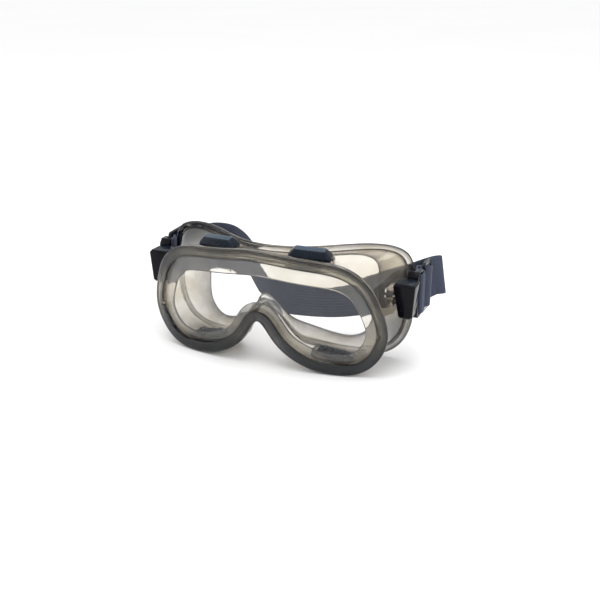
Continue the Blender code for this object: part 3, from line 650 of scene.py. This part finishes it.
def make_lens(look):
    layout = FrameLayout(10)
    stations = layout.stations
    middle = np.array([0.0, 52.0])
    insets = (LENS[2], LENS[2] + 0.15, 7.0, 10.0, 14.0, 18.5)
    rings = [[layout.rim.at(t) + layout.inward(t) * inset for t in stations] for inset in insets]
    for share in (0.82, 0.64, 0.46, 0.28, 0.12):
        rings.append([middle + (p - middle) * share for p in rings[5]])
    front = [[on_face(*p, LENS[0] + (0.15 if i == 0 else 0.0)) for p in ring]
             for i, ring in enumerate(rings)]
    back = [[on_face(*p, LENS[1] - (0.15 if i == 0 else 0.0)) for p in ring]
            for i, ring in enumerate(rings)]
    points, faces = loft(back[::-1] + front)
    faces = faces[:-2]
    count = len(stations)
    for start, depth in ((0, LENS[1]), (len(points) - count, LENS[0])):
        hub = len(points)
        points = points + [tuple(on_face(*middle, depth))]
        faces += [(start + i, start + (i + 1) % count, hub) for i in range(count)]
    obj = new_object("lens_shield", points, faces)
    return finish_piece(obj, look, "goggles", ["lens"])


# ---- vents --------------------------------------------------------------------------
def vent_cap_shape(rise):
    steps = [(18.4, 4.2, 4.8 * rise, 0.8), (23.4, 7.0, 2.3 * rise, 1.4), (23.4, 7.0, GAP, 1.4),
             (26.0, 9.6, GAP, 2.2), (26.0, 9.6, 2.4 * rise, 2.2),
             (25.0, 8.6, 3.1 * rise, 1.9), (20.4, 6.2, 5.7 * rise, 1.4),
             (18.9, 4.9, 6.4 * rise, 1.0)]
    return loft([[(u, v, height) for u, v in rounded(length, width, radius, 7)]
                 for length, width, height, radius in steps])


def make_vent(name, vent, side, look):
    place = vent_matrix(vent)
    rise = vent["rise"]

    def here(shape):
        return sided(moved(shape, place), side)

    obj = new_object(f"vent_hood_{name}", *here(vent_cap_shape(rise)))
    below = -SEAT[2] - BAFFLE[2] - 3 * GAP
    profile = [(5.4 * rise, 1.2), (below, 1.2), (below - 0.1, 2.0), (below - 1.4, 1.0)]
    posts = [loft([[(u + a, b, w) for a, b in disc(r, 24)] for w, r in profile])
             for u in (-6.0, 6.0)]
    combine(obj, here(join(*posts)), "UNION")
    slits = [box((u - 1.1, 2.0, -0.5), (u + 1.1, 9.6, 1.5 * rise))
             for u in (-8.4, -4.2, 0.0, 4.2, 8.4)]
    combine(obj, here(join(*slits)), "DIFFERENCE")
    bevel(obj, 0.22, 2)
    return finish_piece(obj, look, "goggles", [f"vent_cap_{name}"])


# ---- clips --------------------------------------------------------------------------
def clip_block():
    rings = []
    for z, inner, outer, front in CLIP_BLOCK:
        rings.append([(inner, front, z), (outer - 0.8, front, z), (outer, front + 0.8, z),
                      (outer - 0.6, CLIP_BLOCK_BACK, z), (max(inner, 80.6), CLIP_BLOCK_BACK, z),
                      (inner, CLIP_BLOCK_BACK - 4, z)])
    return loft(rings)


def make_clip(name, side, look):
    low, high = STRAP_Z - CLIP_HALF_HEIGHT, STRAP_Z + CLIP_HALF_HEIGHT
    front, back = 38.4, BAR_Y[1]
    half = STRAP_WIDTH / 2 + 0.4
    outline = [(front, low + 3.0), (front + 2.4, low), (back - 0.8, low), (back, low + 0.8),
               (back, high - 0.8), (back - 0.8, high), (front + 2.4, high), (front, high - 3.0)]
    obj = new_object(f"clip_shell_{name}", *sided(clip_block(), side))
    combine(obj, sided(prism_x(outline, CLIP_INNER + 5.0, BAR_X[1]), side), "UNION")
    cuts = [box((CLIP_INNER - 5, CLIP_BLOCK_BACK, STRAP_Z - half),
                (BAR_X[1] + 5, BAR_Y[0], STRAP_Z + half)),
            box((CLIP_INNER - 5, CLIP_BLOCK_BACK + 0.6, low - 5),
                (BAR_X[0], BAR_Y[1] + 5, high + 5)),
            turned_x([(CLIP_INNER - 3, PIN_RADIUS + GAP), (84.4, PIN_RADIUS + GAP)], 32)]
    for cut in cuts:
        combine(obj, sided(cut, side), "DIFFERENCE")
    bevel(obj, 0.5, 3, 25)
    return finish_piece(obj, look, f"clip_{name}", [f"strap_clip_{name}"])


# ---- strap --------------------------------------------------------------------------
def slider_matrix(side):
    hinge = Vector(SLIDER_HINGE)
    return (Matrix.Translation(Vector(SLIDER_SHIFT[side]) + hinge)
            @ Matrix.Rotation(radians(SLIDER_YAW[side]), 4, "Z")
            @ Matrix.Rotation(radians(SLIDER_PITCH[side]), 4, "X")
            @ Matrix.Translation(-hinge))


def band_through_slider():
    under = SLIDER_X[0] - GAP - STRAP_THICK / 2
    middle = SLIDER_Y + SLIDER_BAR * 1.5 + SLIDER_SLOT
    rise = [(-8.4, 0.0), (-6.0, 0.9), (-4.3, 2.8), (-2.8, 4.5), (0.0, 5.0)]
    rise += [(-y, x) for y, x in rise[-2::-1]]
    behind = [(under, SLIDER_Y + 24.6), (under, SLIDER_Y + 32.0)]
    return ([(under - 0.2, SLIDER_Y + 0.2)] + [(under + x, middle + y) for y, x in rise] + behind)


def strap_out(side, beyond, beyond_ups):
    place = slider_matrix(side)
    inside = [tuple(place @ Vector((x, y, STRAP_Z))) for x, y in band_through_slider()]
    start = BAR_X[1] + GAP + STRAP_THICK / 2
    step = max(start - 1.9, (start + inside[0][0]) / 2)
    route = [(start, BAR_Y[1] + 0.25, STRAP_Z), (start, BAR_Y[1] + 0.9, STRAP_Z),
             (start + (step - start) * 0.37, BAR_Y[1] + 2.8, STRAP_Z),
             (step, BAR_Y[1] + 4.6, STRAP_Z)]
    ups = [(0, 0, 1)] * len(route) + [tuple(place.to_3x3() @ Vector((0, 0, 1)))] * len(inside)
    route = [(x * side, y, z) for x, y, z in route + inside] + list(beyond)
    ups = [(x * side, y, z, 0) for x, y, z in ups] + [(*up, 1) for up in beyond_ups]
    return route, ups


RIBS = 13


def strap_profile():
    """(across, out) pairs round the band, -1 to 1 each way: ribbed faces, round edges."""
    half = []
    count = RIBS * 4
    for i in range(count + 1):
        across = -1 + 2 * i / count
        out = 1.0 - 0.16 * (0.5 - 0.5 * cos(2 * pi * RIBS * (across + 1) / 2))
        edge = min(1.0, (1 - abs(across)) / 0.035)
        half.append((across, out * (0.35 + 0.65 * edge ** 0.5)))
    return half + [(a, -o) for a, o in half[::-1]]


def band_section(path, lean, t, profile):
    here = Vector(path.at(t))
    ahead = Vector(path.at(min(t + 0.01, path.knots[-1])) - path.at(max(t - 0.01, path.knots[0])))
    *given, square = lean.at(t)
    up = Vector(given).normalized()
    side = ahead.cross(up).normalized()
    up = up.lerp(side.cross(ahead).normalized(), min(max(square, 0.0), 1.0)).normalized()
    return [here + side * (STRAP_THICK / 2 * o) + up * (STRAP_WIDTH / 2 * a) for a, o in profile]


def strap_piece(name, path, lean, low, high, spacing, look, mirror=1):
    """A stretch of the band between two curve parameters, with a UV in millimetres."""
    profile = strap_profile()
    fine = np.linspace(low, high, 400)
    trail = np.array([path.at(t) for t in fine])
    length = np.concatenate([[0.0], np.cumsum(np.linalg.norm(np.diff(trail, axis=0), axis=1))])
    count = max(4, int(length[-1] / spacing))
    marks = np.interp(np.linspace(0, length[-1], count), length, fine)
    rings = [band_section(path, lean, t, profile) for t in marks]
    along = np.interp(marks, fine, length)
    points, faces = loft(rings)
    obj = new_object(name, *sided((points, faces), mirror), 60.0)
    layer = obj.data.uv_layers.new(name="weave")
    width = len(profile)
    across = [a * STRAP_WIDTH / 2 for a, _ in profile]
    for loop in obj.data.loops:
        ring, place = divmod(loop.vertex_index, width)
        layer.data[loop.index].uv = (along[ring], across[place])
    obj.data.materials.append(look)
    return obj, length[-1]


def make_clip_loop(name, side, look):
    outer = BAR_X[1] + GAP + STRAP_THICK / 2
    inner = BAR_X[0] - GAP - STRAP_THICK / 2
    front = BAR_Y[0] - GAP - STRAP_THICK / 2
    radius = GAP + STRAP_THICK / 2
    corner = radius * 0.293
    spread = SLIDER_SHIFT[side][0] * 0.35
    turn = [(outer, BAR_Y[1] - 0.1), (outer, BAR_Y[0] + 1.2), (outer, BAR_Y[0]),
            (outer - corner, front + corner), (outer - radius, front), (inner + radius, front),
            (inner + corner, front + corner), (inner, BAR_Y[0]), (inner, BAR_Y[0] + 1.2),
            (inner + spread, SLIDER_Y - 3.0)]
    place = slider_matrix(side)
    end = [place @ Vector((84.65, SLIDER_Y + 1.4, STRAP_Z)),
           place @ Vector((83.95, SLIDER_Y + 4.0, STRAP_Z))]
    route = [(x, y, STRAP_Z) for x, y in turn] + [tuple(p) for p in end]
    up = place.to_3x3() @ Vector((0, 0, 1))
    knots = spaced_knots(route, False)
    path = SmoothCurve(route, knots, False)
    lean = SmoothCurve([(0, 0, 1, 0)] * len(turn) + [(*up, 0)] * len(end), knots, False)
    obj, length = strap_piece(f"band_loop_{name}", path, lean, 0, knots[-1], 0.45, look, side)
    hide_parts(f"strap_loop_{name}")
    tip = tuple(end[1])
    at((side * 85.1, BAR_Y[1] + 1.0, STRAP_Z))
    at((side * tip[0], tip[1] - 0.6, tip[2]))
    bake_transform(obj)


def stadium(centre_x, low_y, high_y, radius, count=16):
    outline = []
    for start, y in ((0.0, high_y), (pi, low_y)):
        outline += [(centre_x + radius * cos(start + pi * i / count),
                     y + radius * sin(start + pi * i / count)) for i in range(count + 1)]
    return outline


def make_slider(name, side, looks):
    place = slider_matrix(side)
    length = SLIDER_BAR * 3 + SLIDER_SLOT * 2
    x0, x1 = SLIDER_X
    mid_y = SLIDER_Y + length / 2

    def here(shape):
        return sided(moved(shape, place), side)

    outline = [(mid_y + u, STRAP_Z + v)
               for u, v in rounded(length, SLIDER_HALF_HEIGHT * 2, 2.5, 7)]
    obj = new_object(f"slider_frame_{name}", *here(prism_x(outline, x0, x1)))
    half = STRAP_WIDTH / 2 + 0.6
    slots = [box((x0 - 2, start, STRAP_Z - half), (x1 + 2, start + SLIDER_SLOT, STRAP_Z + half))
             for start in (SLIDER_Y + SLIDER_BAR, SLIDER_Y + SLIDER_BAR * 2 + SLIDER_SLOT)]
    combine(obj, here(join(*slots)), "DIFFERENCE")
    thin = [box((x0 - 2, mid_y - 3, STRAP_Z - half), (x0 + 0.4, mid_y + 3, STRAP_Z + half)),
            box((x1 - 0.4, mid_y - 3, STRAP_Z - half), (x1 + 2, mid_y + 3, STRAP_Z + half))]
    combine(obj, here(join(*thin)), "DIFFERENCE")
    ribs = []
    for bar in (SLIDER_Y + 0.25, SLIDER_Y + length - SLIDER_BAR + 0.25):
        for i in range(12):
            z = STRAP_Z - half + 1.4 + i * (2 * half - 2.8) / 11
            ribs.append(box((x1 - 0.2, bar, z - 0.45), (x1 + 0.45, bar + SLIDER_BAR - 0.5, z + 0.45)))
    combine(obj, here(join(*ribs)), "UNION")
    bevel(obj, 0.22, 2, 30)
    finish_piece(obj, looks["slider"], f"slider_{name}", [f"strap_slider_{name}"])

    low, high = STRAP_Z - STRAP_WIDTH / 2, STRAP_Z + STRAP_WIDTH / 2
    axis_x = (x0 + x1) / 2
    hem = new_object(f"band_hem_{name}", *here(prism_z(stadium(axis_x, mid_y - 1.3, mid_y + 1.3,
                                                               2.1), low, high)))
    tail = [(x, SLIDER_Y + y) for x, y in
            [(83.35, 4.3), (85.9, 4.3), (85.9, 7.2), (88.3, 9.6), (88.2, 12.6), (87.0, 12.9),
             (83.35, 7.6)]]
    combine(hem, here(prism_z(tail, low, high)), "UNION")
    combine(hem, here(prism_z(stadium(axis_x, mid_y - 1.3, mid_y + 1.3, 0.9), low - 3, high + 3)),
            "DIFFERENCE")
    bevel(hem, 0.18, 2, 30)
    weave = hem.data.uv_layers.new(name="weave")
    back = place.inverted()
    for loop in hem.data.loops:
        x, y, z = hem.data.vertices[loop.vertex_index].co / MM - SHIFT
        x, y, z = back @ Vector((x * side, y, z))
        weave.data[loop.index].uv = (y + x * 0.7, z - STRAP_Z)
    finish_piece(hem, looks["strap"], f"slider_{name}", [f"strap_hem_{name}"])
    stitches = []
    for i in range(12):
        z = low + 1.6 + i * (STRAP_WIDTH - 3.2) / 11
        rings = [[(83.3 - 0.10 * (r > 0.05) + r * sin(a) * 0.9, SLIDER_Y + 6.0 + r * cos(a), z + w)
                  for a in np.linspace(0, 2 * pi, 8, endpoint=False)]
                 for w, r in ((-0.75, 0.05), (-0.55, 0.2), (0.0, 0.26), (0.55, 0.2), (0.75, 0.05))]
        stitches.append(loft(rings))
    thread = new_object(f"hem_stitches_{name}", *here(join(*stitches)))
    finish_piece(thread, looks["thread"], f"slider_{name}", [])


def make_headband(look):
    """The band in stretches: the wraps ride on the sliders, the back on the goggles, and the other
    stretches stay fixed where they are built.
    """
    upright = (0, 0, 1)
    left_route, left_ups = strap_out(1, LEFT_PATH, LEFT_UPS)
    right_route, right_ups = strap_out(-1, RIGHT_PATH, [upright] * len(RIGHT_PATH))
    route = left_route + MIDDLE + right_route[::-1]
    ups = left_ups + [(*upright, 1)] * len(MIDDLE) + right_ups[::-1]
    knots = spaced_knots(route, False)
    path = SmoothCurve(route, knots, False)
    lean = SmoothCurve(ups, knots, False)
    last = len(route) - 1
    for name, side in SIDES.items():
        place = slider_matrix(side)

        def spot(y):
            p = place @ Vector((UNDER_SLIDER_X, y, STRAP_Z))
            return at((p.x * side, p.y, p.z))

        def knot(i):
            return knots[i if side > 0 else last - i]

        tip = FOLD_TIP[side]
        ends = [(0, FEED_END, "feed"), (FEED_END, WRAP_END, "wrap"),
                (WRAP_END, TAIL_END, "tail"), (TAIL_END, tip, "out"),
                (tip, len(left_route if side > 0 else right_route) - 1, "back")]
        for first, final, part in ends:
            a, b = sorted((knot(first), knot(final)))
            obj, length = strap_piece(f"band_{part}_{name}", path, lean, a, b,
                                      0.8 if part in ("feed", "wrap") else 1.4, look)
            clip, slider = f"clip_{name}", f"slider_{name}"
            if part == "feed":
                at((side * FEED_X, BAR_Y[1] + 1.0, STRAP_Z))
                spot(SLIDER_Y + 0.2)
                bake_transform(obj)
            elif part == "wrap":
                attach(obj, slider)
            elif part == "tail":
                spot(SLIDER_Y + 24.8)
                at(path.at(knot(TAIL_END)))
                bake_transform(obj)
            else:
                outer = Vector(path.at(knot(tip)))
                if part == "out":
                    base = at(path.at(knot(TAIL_END)))
                    base + (at(outer) - base) * 2.0
                    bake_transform(obj)
                else:
                    far = at(path.at(knot(final)))
                    at(outer) * 2.0 - far
                    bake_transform(obj)
            if part == "out":
                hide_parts(f"headband_{name}")
    a, b = knots[len(left_route) - 1], knots[last - len(right_route) + 1]
    obj, length = strap_piece("band_back", path, lean, a, b, 1.6, look)
    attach(obj, "goggles")
    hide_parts("headband_back")


# ---- stage --------------------------------------------------------------------------
def make_stage():
    ring = [(x, y, -0.0004) for x, y in disc(FLOOR_RADIUS, 96)]
    mesh = bpy.data.meshes.new("floor")
    mesh.from_pydata(ring, [], [tuple(range(96))])
    floor = bpy.data.objects.new("floor", mesh)
    bpy.context.scene.collection.objects.link(floor)
    look = Look("pale_floor")
    look.set(Base_Color=look.mix(look.noise(3.0), (0.90, 0.90, 0.90), (0.93, 0.93, 0.93)),
             Roughness=0.9, Specular_IOR_Level=0.1)
    mesh.materials.append(look.mat)


def area_light(name, place, target, size, power, colour=(1.0, 1.0, 1.0)):
    data = bpy.data.lights.new(name, "AREA")
    data.shape = "RECTANGLE"
    data.size, data.size_y = size
    data.energy = power
    data.color = colour
    obj = bpy.data.objects.new(name, data)
    obj.location = place
    obj.rotation_euler = (Vector(target) - Vector(place)).to_track_quat("-Z", "Y").to_euler()
    bpy.context.scene.collection.objects.link(obj)


def shade_sky(tree, back):
    """White overhead, dimmer low down in front and at the sides, so gloss shows its shape."""
    coords = tree.nodes.new("ShaderNodeTexCoord")
    split = tree.nodes.new("ShaderNodeSeparateXYZ")
    tree.links.new(coords.outputs["Generated"], split.inputs[0])
    shade = tree.nodes.new("ShaderNodeMapRange")
    shade.interpolation_type = "SMOOTHSTEP"
    for key, number in (("From Min", 0.05), ("From Max", 0.75), ("To Min", 0.8),
                        ("To Max", 1.12)):
        shade.inputs[key].default_value = number
    tree.links.new(split.outputs["Z"], shade.inputs["Value"])
    tree.links.new(shade.outputs["Result"], back.inputs["Strength"])
    back.inputs["Color"].default_value = (1.0, 1.0, 1.0, 1.0)


def make_lights():
    world = bpy.data.worlds.new("studio")
    bpy.context.scene.world = world
    world.use_nodes = True
    back = world.node_tree.nodes["Background"]
    shade_sky(world.node_tree, back)
    area_light("top_soft", (0.05, -0.05, 0.9), (0, 0, 0.03), (0.9, 0.7), 5.0)
    area_light("left_soft", (-0.9, -0.5, 0.5), (0, 0, 0.04), (0.35, 0.6), 1.2)
    area_light("right_strip", (0.8, -0.45, 0.45), (0, 0, 0.04), (0.2, 0.6), 1.6)
    bpy.context.scene.view_settings.view_transform = "Standard"


def make_camera():
    data = bpy.data.cameras.new("camera")
    data.lens = CAMERA_LENS
    data.sensor_width = 36.0
    data.clip_start = 0.01
    obj = bpy.data.objects.new("camera", data)
    place, target = at(CAMERA_PLACE), at(CAMERA_TARGET)
    obj.location = place
    obj.rotation_euler = (target - place).to_track_quat("-Z", "Y").to_euler()
    bpy.context.scene.collection.objects.link(obj)
    bpy.context.scene.camera = obj


def main():
    make_camera()
    make_stage()
    make_lights()
    band = strap_look()
    # The top colour here is a painted highlight on the upward faces of the clips and pins.
    black = moulded_look("gloss_black", (0.002, 0.002, 0.003), (0.004, 0.004, 0.007), 0.14,
                         gloss=0.12, top=(0.007, 0.011, 0.018))
    slider = moulded_look("satin_black", (0.004, 0.005, 0.008), (0.008, 0.009, 0.014), 0.22, gloss=0.18)
    # The top colour here is a painted highlight on the caps' upward faces.
    cap = moulded_look("blue_black_cap", (0.003, 0.007, 0.014), (0.006, 0.010, 0.018), 0.22,
                       gloss=0.2, top=(0.035, 0.055, 0.078))
    baffle = moulded_look("dark_blue_baffle", (0.004, 0.006, 0.013), (0.009, 0.013, 0.024), 0.3, gloss=0.2)
    washer = moulded_look("grey_washer", (0.03, 0.032, 0.036), (0.05, 0.053, 0.06), 0.4)
    thread = moulded_look("thread", (0.05, 0.055, 0.08), (0.10, 0.11, 0.14), 0.8, 2000.0)
    make_frame(vinyl_look())
    make_lens(lens_look())
    for name, side in SIDES.items():
        make_vent(f"top_{name}", TOP_VENT, side, cap)
        make_vent(f"bottom_{name}", BOTTOM_VENT, side, cap)
        make_clip(name, side, black)
        make_clip_loop(name, side, band)
        make_slider(name, side, {"slider": slider, "strap": band, "thread": thread})
        for row in ("top", "bottom"):
            carried(f"vent_baffle_{row}_{name}", baffle)
        carried(f"pivot_pin_{name}", black)
        carried(f"pin_washer_{name}", washer)
    make_headband(band)


def carried(node, look):
    mesh = bpy.data.objects[node].data
    mesh.materials.clear()
    mesh.materials.append(look)


main()
